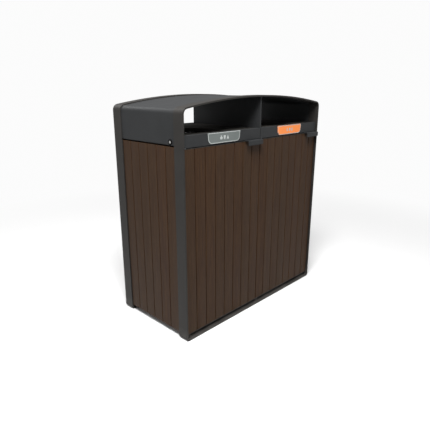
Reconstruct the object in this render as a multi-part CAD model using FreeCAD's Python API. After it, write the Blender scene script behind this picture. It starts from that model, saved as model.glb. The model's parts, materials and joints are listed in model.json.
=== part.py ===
import FreeCAD, Part
import math
import os

# Double litter bin for streets: two flat steel loops joined by an arched hood, timber slats all round,
# two doors at the front, a dished chute plate and a lift-out liner in each compartment.
# Millimetres. +X right seen from the front, +Y to the rear, +Z up. The origin is on the ground, under
# the middle of the frame loops, at the centre of the four ground anchor holes.

V = FreeCAD.Vector
os.makedirs("parts", exist_ok=True)

# ---- driving dimensions ----

# Overall
width = 1110.0
depth = 540.0
height = 1200.0
crown_rise = 48.0          # the arch is this much higher at the middle than at the sides

# Frame loops: flat bar bent round the front and the rear
bar_depth = 64.0
bar_thick = 8.0
top_corner_r = 31.0
bottom_corner_r = 17.0

# Hood and timber
skin_inset = 5.0           # the hood and the side slats sit this far inside the loops' outer faces
hood_sheet = 3.0
hood_gap = 7.5             # shadow gap between the side slats and the hood
slat_thick = 20.0
slat_gap = 3.5
slat_edge_r = 2.5
slat_bottom = 30.0         # lowest edge of all timber
side_slat_count = 6
door_slat_count = 8
side_end_gap = 2.5         # side slats to the loops' edges

# Fascias under the throw-in openings
throw_in_height = 111.0    # open height at the sides, fascia to loop
fascia_height = 55.0
fascia_recess = 10.5       # fascias and doors sit this far behind the loops' front faces
fascia_sheet = 3.0
fascia_return = 15.0       # width of the flanges folded back
fascia_end_gap = 1.5
fascia_mid_gap = 6.0

# Doors
door_side_gap = 4.0
door_mid_gap = 5.0
door_head_gap = 1.2        # handle to fascia
door_sheet = 3.0
door_frame_depth = 20.0    # behind the slats
door_leg = 30.0
crossbar_height = 40.0
crossbar_thick = 4.0

# Pull handle: a plate folded down at its front
handle_sheet = 2.5
handle_length = 118.0
handle_end_gap = 3.0
handle_reach = 15.0        # in front of the loops' front faces
handle_lip = 25.0
handle_bend_r = 2.0
handle_tail = 17.5         # on top of the door frame
handle_screw_r = 2.5
handle_screw_inset = 10.0  # from the handle's ends
handle_screw_stop = 1.5    # screw's tip below the handle's top face

# Hinges
hinge_edge = 13.0          # pin axis to the door's hinge edge
hinge_setback = 9.0        # pin axis behind the door's face
hinge_pin_r = 4.0
hinge_clearance = 0.05
hinge_bush_wall = 2.0
hinge_bush_length = 15.0
hinge_head_r = 5.5
hinge_head_height = 5.0
bush_pocket_clearance = 0.5
bracket_thick = 4.0
bracket_side = 12.0
bracket_reach = 40.0
bracket_boss_r = 5.5       # spacer ring under the bracket, round the pin
bracket_boss_gap = 0.5     # ring to the door's top plate
pivot_gap = 1.5

# Carcass
base_sheet = 3.0
base_edge_gap = 14.0       # base plate's front and rear edges behind the loops' faces
base_side_gap = 12.0       # base plate to the start of the loops' lower bends
post_size = 40.0
post_wall = 3.0
centre_post_width = 30.0
front_post_front = 205.0   # front face of the front posts, in front of the middle plane
rail_thick = 5.0
rail_height = 40.0
rail_end = 80.0            # centre of the lowest and highest rails from the slats' ends
rear_head_gap = 0.3        # rear slats to the fascias above them
top_angle_sheet = 3.0
top_angle_gap = 0.5        # hood's lower edge above the posts' tops

# Divider and partition
divider_sheet = 3.0
divider_flange = 9.0       # folded to the right at both ends
divider_head_gap = 0.3
partition_sheet = 2.0
shaft_hole_clearance = 4.0

# Chute plates
chute_sheet = 2.5
chute_hole_r = 150.0
chute_dish_r = 200.0
chute_dish_drop = 10.5
chute_collar = 20.0
chute_edge_gap = 0.5       # to the fascias
chute_side_gap = 1.0       # to the hood and the loops

# Labels
label_top_width = 229.0
label_bottom_width = 219.0
label_height = 51.0
label_corner_r = 24.0
label_thick = 2.0
label_shift = -7.0         # from the middle of the door below

# Liners
liner_side_gap = 10.0      # rim to the posts
liner_front_gap = 10.0     # to the front face of the posts
liner_rear_gap = 19.0      # to the rear face of the posts
liner_sheet = 2.0
liner_corner_r = 30.0
liner_foot_gap = 3.0
liner_head_gap = 80.5      # liner's top below the chute's collar
liner_rim = 10.0
liner_rim_drop = 14.0
liner_slot_length = 110.0
liner_slot_height = 30.0
liner_slot_drop = 70.0
guide_height = 20.0
guide_sheet = 3.0
guide_clearance = 3.0      # liner to guide
guide_post_gap = 2.0

# Lock
lock_y = -177.0
lock_rise = 22.0           # above the fascias' lower edges
lock_flange_r = 13.0
lock_flange = 3.0
lock_body_r = 9.5
lock_core_r = 6.0
lock_core_proud = 0.6
lock_clearance = 0.05
lock_body_length = 25.0
lock_nut_r = 14.0
lock_nut_thick = 6.0
lock_socket_r = 3.6
lock_socket_depth = 6.0
shaft_r = 6.0
shaft_end_reach = 20.0
collar_r = 10.0
collar_width = 8.0
block_width = 12.0
block_half = 12.0
claw_from_edge = 90.0      # claw to the door's closing edge
claw_width = 8.0
claw_hub_r = 11.0
claw_inner_r = 41.0
claw_outer_r = 48.0
claw_arm = 6.0
claw_start = 157.0         # degrees, unlocked; 0 points to the rear and 90 points up
claw_end = 190.0
keeper_bar_r = 3.0
keeper_bar_reach = 37.0    # from the shaft's axis
keeper_bar_angle = 245.0
keeper_sheet = 3.0
keeper_slack = 4.0
keeper_height = 22.0
keeper_top_gap = 0.5
keeper_nose = 4.0

# Fasteners and buffers
screw_r = 2.0
screw_head_r = 4.0
screw_head = 2.0
screw_bite = 10.0
screw_clearance = 0.2
pilot_clearance = 0.05
buffer_r = 4.5
buffer_gap = 0.3
buffer_end = 170.0         # from the ends of the doors

# Ground anchors and drains
anchor_spacing_x = 800.0
anchor_spacing_y = 300.0
anchor_hole_r = 7.0
anchor_pad = 60.0
drain_hole_r = 10.0
drain_spread = 120.0

# ---- places worked out from the driving dimensions ----

half_width = width / 2
half_depth = depth / 2
arch_radius = (half_width ** 2 + crown_rise ** 2) / (2 * crown_rise)
loop_inner = half_width - bar_thick
loop_edge = half_depth - bar_depth
hood_inner = half_width - skin_inset - hood_sheet
face_y = half_depth - fascia_recess          # door faces and fascias, in front and behind
fascia_back = face_y - fascia_sheet
fascia_top = height - crown_rise - bar_thick - throw_in_height
fascia_bottom = fascia_top - fascia_height
door_top = fascia_bottom - door_head_gap - handle_sheet
door_back = face_y - slat_thick              # rear of the doors' slats
door_frame_back = door_back - door_frame_depth
door_width = (2 * loop_inner - 2 * door_side_gap - door_mid_gap) / 2
door_left_edges = {"left": -loop_inner + door_side_gap, "right": door_mid_gap / 2}
slat_pitch = (door_width + slat_gap) / door_slat_count
slat_width = slat_pitch - slat_gap
side_slat_top = fascia_bottom
rear_slat_top = fascia_bottom - rear_head_gap
hood_bottom = side_slat_top + hood_gap
post_top = hood_bottom - top_angle_gap
base_top = bar_thick + base_sheet
rail_back_x = half_width - skin_inset - slat_thick - rail_thick
post_inner_x = rail_back_x - post_size
rear_post_rear = door_back - rail_thick
chute_top = fascia_top - fascia_sheet
chute_bottom = chute_top - chute_sheet
hinge_y = -face_y + hinge_setback
bush_r = hinge_pin_r + hinge_clearance + hinge_bush_wall
bush_bore_r = hinge_pin_r + hinge_clearance
crown_inner = height - bar_thick
bay_middle = {"left": -(loop_inner + divider_sheet / 2) / 2, "right": (loop_inner + divider_sheet / 2) / 2}
bay_width = post_inner_x - centre_post_width / 2
liner_middle = {"left": -(post_inner_x + centre_post_width / 2) / 2,
                "right": (post_inner_x + centre_post_width / 2) / 2}
liner_width = bay_width - 2 * (liner_rim + liner_side_gap)
liner_bottom = base_top + liner_foot_gap
liner_top = chute_top - chute_dish_drop - chute_collar - liner_head_gap
liner_front = -front_post_front + liner_front_gap
liner_rear = rear_post_rear - liner_rear_gap
lock_z = fascia_bottom + lock_rise
claw_x = {side: edge + door_width - claw_from_edge for side, edge in door_left_edges.items()}
sides = ("left", "right")


# ---- helpers ----

def box(x0, x1, y0, y1, z0, z1):
    """Block between two corners, given in either order."""
    low = V(min(x0, x1), min(y0, y1), min(z0, z1))
    return Part.makeBox(abs(x1 - x0), abs(y1 - y0), abs(z1 - z0), low)


def rod(x, y, z, radius, length, axis=V(0, 0, 1)):
    """Cylinder that starts at a point and runs along an axis."""
    return Part.makeCylinder(radius, length, V(x, y, z), axis)


def tube(x, y, z, outer_r, inner_r, length, axis=V(0, 0, 1)):
    """Round tube that starts at a point and runs along an axis."""
    return rod(x, y, z, outer_r, length, axis).cut(rod(x, y, z, inner_r, length, axis))


def edges_along(shape, direction):
    """Straight edges of a shape that run along a direction."""
    found = []
    for edge in shape.Edges:
        run = edge.Vertexes[-1].Point - edge.Vertexes[0].Point
        if run.Length > 0.01 and abs(run.dot(direction)) > 0.9999 * run.Length:
            found.append(edge)
    return found


def bend_edges(shape, y, z):
    """Edges along X at one Y and Z."""
    return [e for e in edges_along(shape, V(1, 0, 0))
            if abs(e.Vertexes[0].Y - y) < 0.01 and abs(e.Vertexes[0].Z - z) < 0.01]


def mirrored(shape):
    """Mirror image across the plane X = 0."""
    return shape.mirror(V(0, 0, 0), V(1, 0, 0))


def save(name, *solids):
    """Write one node; several solids become one group."""
    shape = solids[0] if len(solids) == 1 else Part.makeCompound(list(solids))
    shape.exportStep("parts/" + name + ".step")


# ---- frame loops and hood ----

def arched_block(inset, y0, y1):
    """Block with the loops' outline, moved in by inset: flat foot, straight sides, arched top."""
    half = half_width - inset
    radius = arch_radius - inset
    centre_z = height - arch_radius
    shoulder = centre_z + math.sqrt(radius ** 2 - half ** 2)
    foot_left, foot_right = V(-half, y0, inset), V(half, y0, inset)
    top_left, top_right = V(-half, y0, shoulder), V(half, y0, shoulder)
    crown = V(0, y0, centre_z + radius)
    outline = Part.Wire([
        Part.makeLine(foot_left, foot_right),
        Part.makeLine(foot_right, top_right),
        Part.Arc(top_right, crown, top_left).toShape(),
        Part.makeLine(top_left, foot_left)])
    block = Part.Face(outline).extrude(V(0, y1 - y0, 0))
    upper = [e for e in edges_along(block, V(0, 1, 0)) if e.Vertexes[0].Z > height / 2]
    block = block.makeFillet(top_corner_r - inset, upper)
    lower = [e for e in edges_along(block, V(0, 1, 0)) if e.Vertexes[0].Z < bottom_corner_r]
    return block.makeFillet(bottom_corner_r - inset, lower)


def frame_loop(y0, y1):
    """Flat bar bent into a closed loop."""
    return arched_block(0, y0, y1).cut(arched_block(bar_thick, y0, y1))


def hood():
    """Arched sheet between the loops, folded down over both sides, with the lock's hole in its left side."""
    shell = arched_block(skin_inset, -loop_edge, loop_edge)
    shell = shell.cut(arched_block(skin_inset + hood_sheet, -loop_edge, loop_edge))
    shell = shell.cut(box(-width, width, -depth, depth, -1, hood_bottom))
    return shell.cut(rod(-half_width, lock_y, lock_z, lock_body_r, 2 * bar_thick, V(1, 0, 0)))


save("front_frame", frame_loop(-half_depth, -loop_edge))
save("rear_frame", frame_loop(loop_edge, half_depth))
save("hood", hood())


# ---- base and posts ----

def anchor_places():
    """Centres of the four ground anchor holes."""
    return [(sx * anchor_spacing_x / 2, sy * anchor_spacing_y / 2) for sx in (-1, 1) for sy in (-1, 1)]


def base_plate():
    """Floor sheet on the loops' lower runs, with anchor holes and two drain holes in each bay."""
    half_x = half_width - bottom_corner_r - base_side_gap
    half_y = half_depth - base_edge_gap
    plate = box(-half_x, half_x, -half_y, half_y, bar_thick, base_top)
    for x, y in anchor_places():
        plate = plate.cut(rod(x, y, 0, anchor_hole_r, base_top + 1))
    for middle in bay_middle.values():
        for step in (-drain_spread / 2, drain_spread / 2):
            plate = plate.cut(rod(middle + step, 0, 0, drain_hole_r, base_top + 1))
    return plate


def anchor_pads():
    """Square packers that fill the space between the floor sheet and the ground."""
    pads = []
    half = anchor_pad / 2
    for x, y in anchor_places():
        pad = box(x - half, x + half, y - half, y + half, 0, bar_thick)
        pads.append(pad.cut(rod(x, y, -1, anchor_hole_r, bar_thick + 2)))
    return pads


def post(x0, x1, y0, y1):
    """Upright square tube, open at both ends."""
    outer = box(x0, x1, y0, y1, base_top, post_top)
    bore = box(x0 + post_wall, x1 - post_wall, y0 + post_wall, y1 - post_wall, base_top, post_top)
    return outer.cut(bore)


front_span = (-front_post_front, -front_post_front + post_size)
rear_span = (rear_post_rear - post_size, rear_post_rear)
save("base_plate", base_plate())
save("anchor_pads", *anchor_pads())
for place, span in (("front", front_span), ("rear", rear_span)):
    save(place + "_left_post", post(-rail_back_x, -post_inner_x, *span))
    save(place + "_right_post", post(post_inner_x, rail_back_x, *span))
    save(place + "_centre_post", post(-centre_post_width / 2, centre_post_width / 2, *span))


def top_angle():
    """Left angle that carries the hood's side and the chute plate's edge on the posts' tops."""
    y0, y1 = front_span[0], -front_span[0]
    foot = box(-hood_inner, -post_inner_x, y0, y1, post_top, post_top + top_angle_sheet)
    return foot.fuse(box(-hood_inner, -hood_inner + top_angle_sheet, y0, y1, post_top, chute_bottom))


lock_nut_hole = rod(-hood_inner - 1, lock_y, lock_z, lock_nut_r + 1, post_size, V(1, 0, 0))
save("left_top_angle", top_angle().cut(lock_nut_hole).removeSplitter())
save("right_top_angle", mirrored(top_angle()).removeSplitter())


# ---- timber panels ----

def slat(length_axis, x0, x1, y0, y1, z0, z1, outside):
    """Board with its two long outer edges rounded; outside is the direction that its face looks."""
    board = box(x0, x1, y0, y1, z0, z1)
    face_at = V((x0 + x1) / 2, (y0 + y1) / 2, (z0 + z1) / 2) + outside * (slat_thick / 2)
    edges = [e for e in edges_along(board, length_axis)
             if abs((e.Vertexes[0].Point - face_at).dot(outside)) < 0.01]
    return board.makeFillet(slat_edge_r, edges)


def rail_levels(z0, z1):
    """Centre heights of three rails behind a panel of slats."""
    return (z0 + rail_end, (z0 + z1) / 2, z1 - rail_end)


def screws(points, inward):
    """Wood screws: round head on the rail, shank through it into the timber; inward is the shank's way."""
    made = []
    for point, grip in points:
        head = Part.makeCylinder(screw_head_r, screw_head, point - inward * screw_head, inward)
        made.append(head.fuse(Part.makeCylinder(screw_r, grip + screw_bite, point, inward)))
    return made


def drill(shape, points, inward, clearance):
    """Cut the holes that a set of screws needs."""
    holes = [Part.makeCylinder(screw_r + clearance, grip + screw_bite + clearance, point, inward)
             for point, grip in points]
    near = [h for h in holes if h.BoundBox.intersect(shape.BoundBox)]
    return shape.cut(Part.makeCompound(near)) if near else shape


def side_panel(name, sign):
    """Upright slats and three rails on one side, with sign -1 on the left; gives back their screws."""
    outer, inner = sign * (half_width - skin_inset), sign * (half_width - skin_inset - slat_thick)
    span = 2 * (loop_edge - side_end_gap)
    pitch = (span + slat_gap) / side_slat_count
    inward = V(sign, 0, 0)
    centres = [-span / 2 + i * pitch + (pitch - slat_gap) / 2 for i in range(side_slat_count)]
    levels = rail_levels(slat_bottom, side_slat_top)
    points = [(V(sign * rail_back_x, y, z), rail_thick) for y in centres for z in levels
              if front_span[1] + screw_head_r < y < rear_span[0] - screw_head_r]
    slats, rails = [], []
    for y in centres:
        half = (pitch - slat_gap) / 2
        board = slat(V(0, 0, 1), inner, outer, y - half, y + half, slat_bottom, side_slat_top, inward)
        slats.append(drill(board, points, inward, pilot_clearance))
    for z in levels:
        rail = box(inner, sign * rail_back_x, front_span[0], rear_span[1],
                   z - rail_height / 2, z + rail_height / 2)
        rails.append(drill(rail, points, inward, screw_clearance))
    save(name + "_side_slats", *slats)
    save(name + "_side_rails", *rails)
    return screws(points, inward)


def slat_starts(left_edge):
    """Left edges of the slats across one door or one rear bay."""
    return [left_edge + i * slat_pitch for i in range(door_slat_count)]


def rear_panel():
    """Fixed upright slats across both bays of the rear, on three rails; gives back their screws."""
    inward = V(0, 1, 0)
    levels = rail_levels(slat_bottom, rear_slat_top)
    starts = [x for edge in door_left_edges.values() for x in slat_starts(edge)]
    clear = (centre_post_width / 2 + screw_head_r, post_inner_x - screw_head_r)
    points = [(V(x + slat_width / 2, rear_post_rear, z), rail_thick) for x in starts for z in levels
              if clear[0] < abs(x + slat_width / 2) < clear[1]]
    slats, rails = [], []
    for x in starts:
        board = slat(V(0, 0, 1), x, x + slat_width, door_back, face_y, slat_bottom, rear_slat_top, inward)
        slats.append(drill(board, points, inward, pilot_clearance))
    half = loop_inner - door_side_gap
    for z in levels:
        rail = box(-half, half, rear_post_rear, door_back, z - rail_height / 2, z + rail_height / 2)
        rails.append(drill(rail, points, inward, screw_clearance))
    save("rear_slats", *slats)
    save("rear_rails", *rails)
    return screws(points, inward)


save("panel_screws", *side_panel("left", -1), *side_panel("right", 1), *rear_panel())


# ---- fascias, chutes, divider ----

def fascia(sign):
    """Fascia of the left bay: sheet with its top and outer end folded back; sign -1 faces front."""
    x0, x1 = -loop_inner + fascia_end_gap, -fascia_mid_gap / 2
    y0, y1 = sign * face_y, sign * fascia_back
    fold = sign * (face_y - fascia_return)
    sheet = box(x0, x1, y0, y1, fascia_bottom, fascia_top)
    top_flange = box(x0 + divider_flange, x1 - divider_flange, y0, fold, chute_top, fascia_top)
    end_flange = box(x0, x0 + fascia_sheet, y0, fold, fascia_bottom, chute_bottom)
    sheet = sheet.fuse(top_flange).fuse(end_flange).removeSplitter()
    return sheet.makeFillet(fascia_sheet / 2, bend_edges(sheet, y0, fascia_top))


def chute_plate(middle, x0, x1):
    """Sheet that dishes down to a round collared hole over the liner."""
    half_y = fascia_back - fascia_sheet - chute_edge_gap
    plate = box(x0, x1, -half_y, half_y, chute_bottom, chute_top)
    plate = plate.cut(rod(middle, 0, chute_bottom - 1, chute_dish_r, chute_sheet + 2))
    rim = chute_top - chute_dish_drop
    wall = chute_hole_r + chute_sheet
    profile = Part.makePolygon([V(chute_dish_r, 0, chute_top), V(chute_hole_r, 0, rim),
                                V(chute_hole_r, 0, rim - chute_collar), V(wall, 0, rim - chute_collar),
                                V(wall, 0, rim - chute_sheet), V(chute_dish_r, 0, chute_bottom),
                                V(chute_dish_r, 0, chute_top)])
    dish = Part.Face(profile).revolve(V(0, 0, 0), V(0, 0, 1), 360)
    dish.translate(V(middle, 0, 0))
    return plate.fuse(dish).removeSplitter()


def divider():
    """Sheet between the two throw-in openings, with a flange folded to the right at each end."""
    head = crown_inner - divider_head_gap
    half = divider_sheet / 2
    sheet = box(-half, half, -fascia_back, fascia_back, post_top, head)
    for sign in (-1, 1):
        y0, y1 = sign * fascia_back, sign * (fascia_back - divider_sheet)
        sheet = sheet.fuse(box(-half, divider_flange - half, y0, y1, post_top, head))
    hole = rod(-post_size, lock_y, lock_z, shaft_r + shaft_hole_clearance, 2 * post_size, V(1, 0, 0))
    return sheet.cut(hole).removeSplitter()


def partition():
    """Lower panel that keeps the two liners' bays apart."""
    half = partition_sheet / 2
    return box(-half, half, front_span[1], rear_span[0], base_top, post_top - top_angle_gap)


def label():
    """Bin label: a thin plate, wider at its top, with large rounded lower corners, centred on X = 0."""
    top, bottom = fascia_top, fascia_top - label_height
    points = [V(-label_top_width / 2, -face_y, top), V(label_top_width / 2, -face_y, top),
              V(label_bottom_width / 2, -face_y, bottom), V(-label_bottom_width / 2, -face_y, bottom)]
    plate = Part.Face(Part.makePolygon(points + points[:1])).extrude(V(0, -label_thick, 0))
    corners = [e for e in edges_along(plate, V(0, 1, 0)) if e.Vertexes[0].Z < bottom + 1]
    return plate.makeFillet(label_corner_r, corners)


chute_edge_x = -min(loop_inner, hood_inner) + chute_side_gap
left_chute = chute_plate(bay_middle["left"], chute_edge_x, -divider_sheet / 2)
save("left_chute_plate", left_chute)
save("right_chute_plate", mirrored(left_chute))
for end, sign in (("front", -1), ("rear", 1)):
    save("left_" + end + "_fascia", fascia(sign))
    save("right_" + end + "_fascia", mirrored(fascia(sign)))
save("divider", divider())
save("partition", partition())
for side in sides:
    plate = label()
    plate.translate(V(door_left_edges[side] + door_width / 2 + label_shift, 0, 0))
    save(side + "_label", plate)


# ---- doors ----

def hinge_x(side):
    """X of one door's hinge axis."""
    return door_left_edges[side] + hinge_edge


def door_frame(side):
    """Welded angle frame behind the slats, with plates over their ends that carry the hinge bushes."""
    x0 = door_left_edges[side]
    x1 = x0 + door_width
    z0, z1 = slat_bottom, door_top
    t = door_sheet
    ring = box(x0, x1, -door_back, -door_frame_back, z0, z1)
    ring = ring.cut(box(x0 + t, x1 - t, -door_back + t, -door_frame_back, z0 + t, z1 - t))
    window = box(x0 + door_leg, x1 - door_leg, -door_back, -door_back + t, z0 + door_leg, z1 - door_leg)
    ring = ring.cut(window)
    axis_x = hinge_x(side)
    for plate_z, bush_z in ((z0, z0), (z1 - t, z1 - t - hinge_bush_length)):
        ring = ring.fuse(box(x0, x1, -face_y, -door_back, plate_z, plate_z + t))
        ring = ring.fuse(rod(axis_x, hinge_y, bush_z, bush_r, hinge_bush_length + t))
        ring = ring.cut(rod(axis_x, hinge_y, bush_z - 1, bush_bore_r, hinge_bush_length + t + 2))
    for x, y in handle_screw_places(side):
        ring = ring.cut(rod(x, y, z1 - 2 * t, handle_screw_r + screw_clearance, 3 * t))
    return ring.removeSplitter()


def handle_span(side):
    """Ends of the pull handle, at the door's closing edge."""
    x1 = door_left_edges[side] + door_width - handle_end_gap
    return x1 - handle_length, x1


def handle_screw_places(side):
    """Two screws from below, near the handle's ends."""
    x0, x1 = handle_span(side)
    y = -door_back + handle_tail / 2
    return [(x0 + handle_screw_inset, y), (x1 - handle_screw_inset, y)]


def handle(side):
    """Plate on top of the door, folded down at its front into a lip for the fingers."""
    x0, x1 = handle_span(side)
    front = -half_depth - handle_reach
    top = door_top + handle_sheet
    plate = box(x0, x1, front, -door_back + handle_tail, door_top, top)
    pull = plate.fuse(box(x0, x1, front, front + handle_sheet, top - handle_lip, top)).removeSplitter()
    pull = pull.makeFillet(handle_bend_r, bend_edges(pull, front + handle_sheet, door_top))
    pull = pull.makeFillet(handle_bend_r + handle_sheet, bend_edges(pull, front, top))
    corners = [e for e in edges_along(pull, V(0, 1, 0)) if e.Vertexes[0].Z < door_top - handle_lip / 2]
    pull = pull.makeFillet(2 * handle_bend_r, corners)
    hole_depth = handle_sheet - handle_screw_stop + pilot_clearance
    for x, y in handle_screw_places(side):
        pull = pull.cut(rod(x, y, door_top - 1, handle_screw_r + pilot_clearance, hole_depth + 1))
    return pull


def handle_screws(side):
    """Screws up through the door's top plate into the handle."""
    made = []
    for x, y in handle_screw_places(side):
        head = rod(x, y, door_top - 2 * door_sheet, handle_screw_r + screw_head, door_sheet)
        grip = door_sheet + handle_sheet - handle_screw_stop
        made.append(head.fuse(rod(x, y, door_top - door_sheet, handle_screw_r, grip)))
    return made


def keeper_bar_place():
    """Y and Z of the keeper bar that the claw hooks in front of."""
    angle = math.radians(keeper_bar_angle)
    return lock_y + keeper_bar_reach * math.cos(angle), lock_z + keeper_bar_reach * math.sin(angle)


def keeper(side):
    """Two cheeks with a cross bar, on the back of the door's upper leg."""
    x = claw_x[side]
    bar_y, bar_z = keeper_bar_place()
    half = claw_width / 2 + keeper_slack
    back = -door_back + door_sheet
    top = door_top - door_sheet - keeper_top_gap
    foot = box(x - half - keeper_sheet, x + half + keeper_sheet, back, back + keeper_sheet,
               top - keeper_height, top)
    for edge in (x - half - keeper_sheet, x + half):
        foot = foot.fuse(box(edge, edge + keeper_sheet, back, bar_y + keeper_nose + keeper_bar_r,
                             top - keeper_height, top))
    bar = rod(x - half - keeper_sheet, bar_y, bar_z, keeper_bar_r, 2 * (half + keeper_sheet), V(1, 0, 0))
    return foot.fuse(bar).removeSplitter()


def door(side):
    """One door: frame, crossbars, slats, their screws, pull handle and keeper."""
    x0 = door_left_edges[side]
    x1 = x0 + door_width
    outward = V(0, -1, 0)
    low, high = slat_bottom + door_sheet, door_top - door_sheet
    span = (high - low) / 3
    bars = (low + span, high - span)
    bar_front = -door_back + door_sheet
    bar_back = bar_front + crossbar_thick
    rows = [(z, bar_back, bar_back + door_back) for z in bars]
    leg_row = (door_leg + door_sheet) / 2
    rows += [(z, -door_back + door_sheet, door_sheet) for z in (slat_bottom + leg_row, door_top - leg_row)]
    centres = [x + slat_width / 2 for x in slat_starts(x0)]
    keep_out = claw_width / 2 + keeper_slack + keeper_sheet + screw_head_r
    points = [(V(x, y, z), grip) for x in centres for z, y, grip in rows
              if z < high - door_leg or abs(x - claw_x[side]) > keep_out]
    frame = drill(door_frame(side), points, outward, screw_clearance)
    crossbars, slats = [], []
    for z in bars:
        bar = box(x0 + door_sheet, x1 - door_sheet, bar_front, bar_back,
                  z - crossbar_height / 2, z + crossbar_height / 2)
        crossbars.append(drill(bar, points, outward, screw_clearance))
    pocket_r = bush_r + bush_pocket_clearance
    for x in slat_starts(x0):
        board = slat(V(0, 0, 1), x, x + slat_width, -face_y, -door_back, low, high, outward)
        if x == x0:
            for z in (low, high - hinge_bush_length):
                board = board.cut(rod(hinge_x(side), hinge_y, z - 1, pocket_r, hinge_bush_length + 2))
        slats.append(drill(board, points, outward, pilot_clearance))
    save(side + "_door_frame", frame)
    save(side + "_door_crossbars", *crossbars)
    save(side + "_door_slats", *slats)
    save(side + "_door_screws", *screws(points, outward))
    save(side + "_handle", handle(side))
    save(side + "_handle_screws", *handle_screws(side))
    save(side + "_keeper", keeper(side))


for side in sides:
    door(side)


# ---- hinges and buffers ----

def hinge_bracket(side):
    """Plate welded to the post's front, over the door's top corner, with a spacer ring round the pin."""
    x = hinge_x(side)
    plate = box(x - bracket_side, x + bracket_reach, -fascia_back, -front_post_front,
                fascia_bottom, fascia_bottom + bracket_thick)
    boss_foot = door_top + bracket_boss_gap
    plate = plate.fuse(rod(x, hinge_y, boss_foot, bracket_boss_r, fascia_bottom - boss_foot))
    return plate.cut(rod(x, hinge_y, boss_foot - 1, hinge_pin_r + pilot_clearance, 3 * bracket_thick))


def pivot_block(side):
    """Block on the floor sheet, under the door's bottom corner."""
    x = hinge_x(side)
    block = box(x - bracket_side, x + bracket_side, hinge_y - bracket_side / 3, hinge_y + 2 * bracket_side,
                base_top, slat_bottom - pivot_gap)
    return block.cut(rod(x, hinge_y, base_top, hinge_pin_r + pilot_clearance, slat_bottom))


def top_pin(side):
    """Headed pin down through the bracket into the door's upper bush."""
    bottom = door_top - hinge_bush_length
    seat = fascia_bottom + bracket_thick
    head = rod(hinge_x(side), hinge_y, seat, hinge_head_r, hinge_head_height)
    rim = [e for e in head.Edges if abs(e.BoundBox.ZMin - seat - hinge_head_height) < 0.01 and e.Closed]
    head = head.makeFillet(hinge_head_height / 2, rim)
    return head.fuse(rod(hinge_x(side), hinge_y, bottom, hinge_pin_r, seat - bottom))


def bottom_pin(side):
    """Plain pin up from the pivot block into the door's lower bush."""
    return rod(hinge_x(side), hinge_y, base_top, hinge_pin_r, slat_bottom + hinge_bush_length - base_top)


def buffers():
    """Rubber stops on the posts' fronts that the doors' legs close on."""
    centre_x = -centre_post_width / 2 + buffer_r
    right_x = post_inner_x + post_size - bracket_side / 2
    length = door_back - door_sheet - buffer_gap - front_post_front
    return [rod(x, -front_post_front, z, buffer_r, length, V(0, -1, 0))
            for x in (centre_x, right_x) for z in (slat_bottom + buffer_end, door_top - buffer_end)]


save("hinge_brackets", *[hinge_bracket(side) for side in sides])
save("pivot_blocks", *[pivot_block(side) for side in sides])
save("top_hinge_pins", *[top_pin(side) for side in sides])
save("bottom_hinge_pins", *[bottom_pin(side) for side in sides])
save("door_buffers", *buffers())


# ---- lock ----

def lock_housing():
    """Flanged barrel through the hood's side."""
    face_x = -half_width + skin_inset - lock_flange
    x_axis = V(1, 0, 0)
    barrel = rod(face_x, lock_y, lock_z, lock_flange_r, lock_flange, x_axis)
    barrel = barrel.fuse(rod(face_x, lock_y, lock_z, lock_body_r, lock_body_length, x_axis))
    bore = rod(face_x, lock_y, lock_z, lock_core_r + lock_clearance, lock_body_length, x_axis)
    return barrel.cut(bore).removeSplitter()


def lock_nut():
    """Hexagon nut that clamps the housing to the hood from inside."""
    x0 = -half_width + skin_inset + hood_sheet
    corners = [V(x0, lock_y + lock_nut_r * math.cos(math.radians(a)),
                 lock_z + lock_nut_r * math.sin(math.radians(a))) for a in range(0, 361, 60)]
    nut = Part.Face(Part.makePolygon(corners)).extrude(V(lock_nut_thick, 0, 0))
    return nut.cut(rod(x0, lock_y, lock_z, lock_body_r + lock_clearance, lock_nut_thick, V(1, 0, 0)))


def lock_core():
    """Turning core with a three-sided socket for the key."""
    x0 = -half_width + skin_inset - lock_flange - lock_core_proud
    core = rod(x0, lock_y, lock_z, lock_core_r, lock_body_length + lock_core_proud, V(1, 0, 0))
    corners = [V(x0, lock_y + lock_socket_r * math.cos(math.radians(a)),
                 lock_z + lock_socket_r * math.sin(math.radians(a))) for a in (90, 210, 330, 450)]
    return core.cut(Part.Face(Part.makePolygon(corners)).extrude(V(lock_socket_depth, 0, 0)))


shaft_start = -half_width + skin_inset - lock_flange + lock_body_length
block_places = {"left": (-post_inner_x - post_size / 2, post_top + top_angle_sheet),
                "centre": (divider_sheet + block_width / 2, post_top),
                "right": (post_inner_x + post_size / 2, post_top + top_angle_sheet)}
shaft_end = block_places["right"][0] + shaft_end_reach


def bearing_block(x, foot):
    """Pillow block on a post's top that the lock shaft turns in."""
    block = box(x - block_width / 2, x + block_width / 2, lock_y - block_half, lock_y + block_half,
                foot, lock_z + block_half)
    edges = [e for e in edges_along(block, V(1, 0, 0)) if e.Vertexes[0].Z > lock_z]
    block = block.makeFillet(block_half * 0.6, edges)
    bore_r = shaft_r + lock_clearance
    return block.cut(rod(x - block_width, lock_y, lock_z, bore_r, 2 * block_width, V(1, 0, 0)))


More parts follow.
